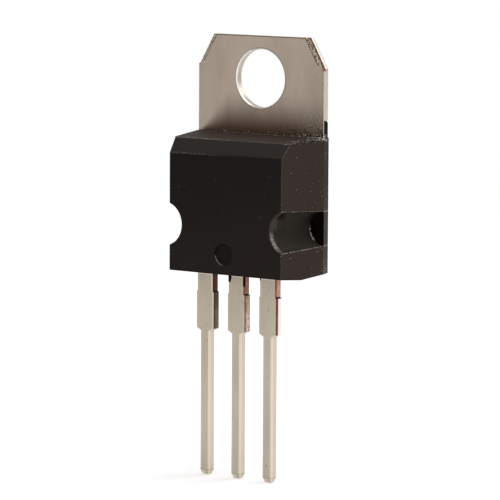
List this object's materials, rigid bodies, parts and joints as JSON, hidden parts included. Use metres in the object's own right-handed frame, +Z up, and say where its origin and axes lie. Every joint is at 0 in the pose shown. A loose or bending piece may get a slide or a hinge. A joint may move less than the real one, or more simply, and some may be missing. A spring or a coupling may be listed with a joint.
{
  "type": "voltage regulator",
  "caption": "Voltage regulator in a flat moulded package: a drilled heatsink tab behind a notched black body, with straight leads in a row below it.",
  "frame": {"origin": "centre of the mounting hole, in the plane of the heatsink face", "axes": "+Z up, away from the leads; +Y out of the heatsink face; the front of the body faces -Y and the leads point along -Z"},
  "size_m": [0.0102, 0.0045, 0.0291],
  "materials": {
    "moulding_compound": "black epoxy moulding compound, fine eroded texture",
    "plated_copper": "copper strip with a satin tin plating, bare copper on the cut edges",
    "silicon": "passivated silicon",
    "solder": "soft solder, dull",
    "bond_wire": "drawn aluminium wire"
  },
  "bodies": {
    "root": {"moulded_body": "moulding_compound", "tab_and_ground_lead": "plated_copper", "input_lead": "plated_copper", "output_lead": "plated_copper", "silicon_die": "silicon", "die_attach": "solder", "input_wire": "bond_wire", "output_wire": "bond_wire", "ground_wire": "bond_wire"}
  },
  "joints": []
}
